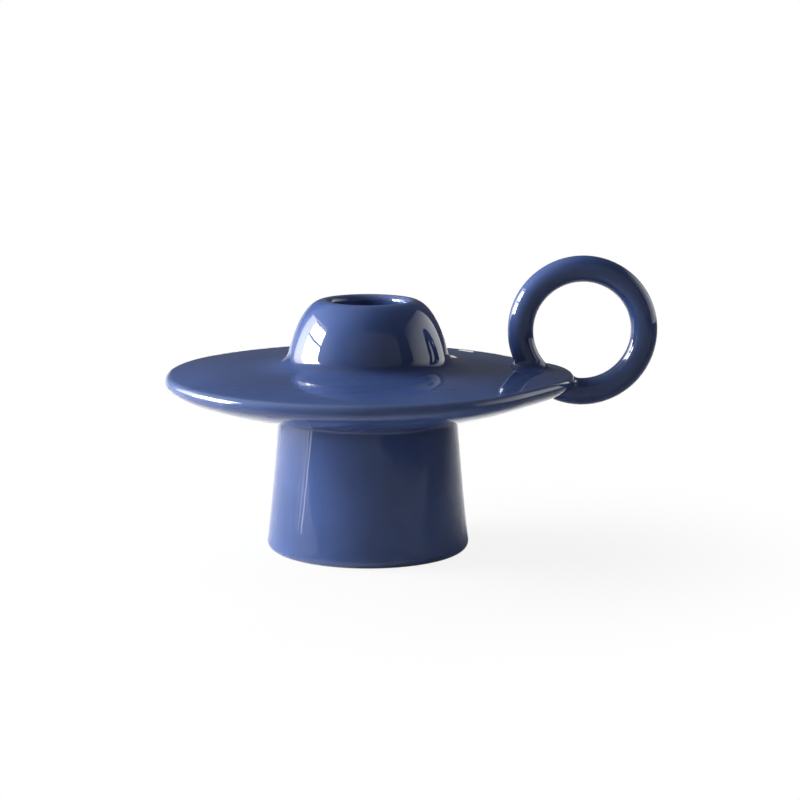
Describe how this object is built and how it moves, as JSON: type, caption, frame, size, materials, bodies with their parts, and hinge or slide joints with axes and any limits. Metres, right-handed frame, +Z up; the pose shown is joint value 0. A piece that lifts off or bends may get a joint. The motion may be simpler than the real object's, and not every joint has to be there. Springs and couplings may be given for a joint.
{
  "type": "chamberstick",
  "caption": "Glazed ceramic chamberstick: hollow tapered foot, wide drip plate, domed candle socket and an upright finger ring at the rim.",
  "frame": {"origin": "middle of the footprint, on the table", "axes": "+X towards the finger ring, +Y across the ring's plane, +Z up along the candle's axis"},
  "size_m": [0.146, 0.116, 0.0879],
  "materials": {
    "blue_glaze": "glossy mid-blue glaze, thinner and paler on the rim"
  },
  "bodies": {
    "root": {"pedestal_foot": "blue_glaze", "drip_plate": "blue_glaze", "socket_dome": "blue_glaze", "candle_cup": "blue_glaze", "finger_ring": "blue_glaze", "foot_seam_slip": "blue_glaze", "dome_seam_slip": "blue_glaze", "ring_upper_seam_slip": "blue_glaze", "ring_lower_seam_slip": "blue_glaze"}
  },
  "joints": []
}
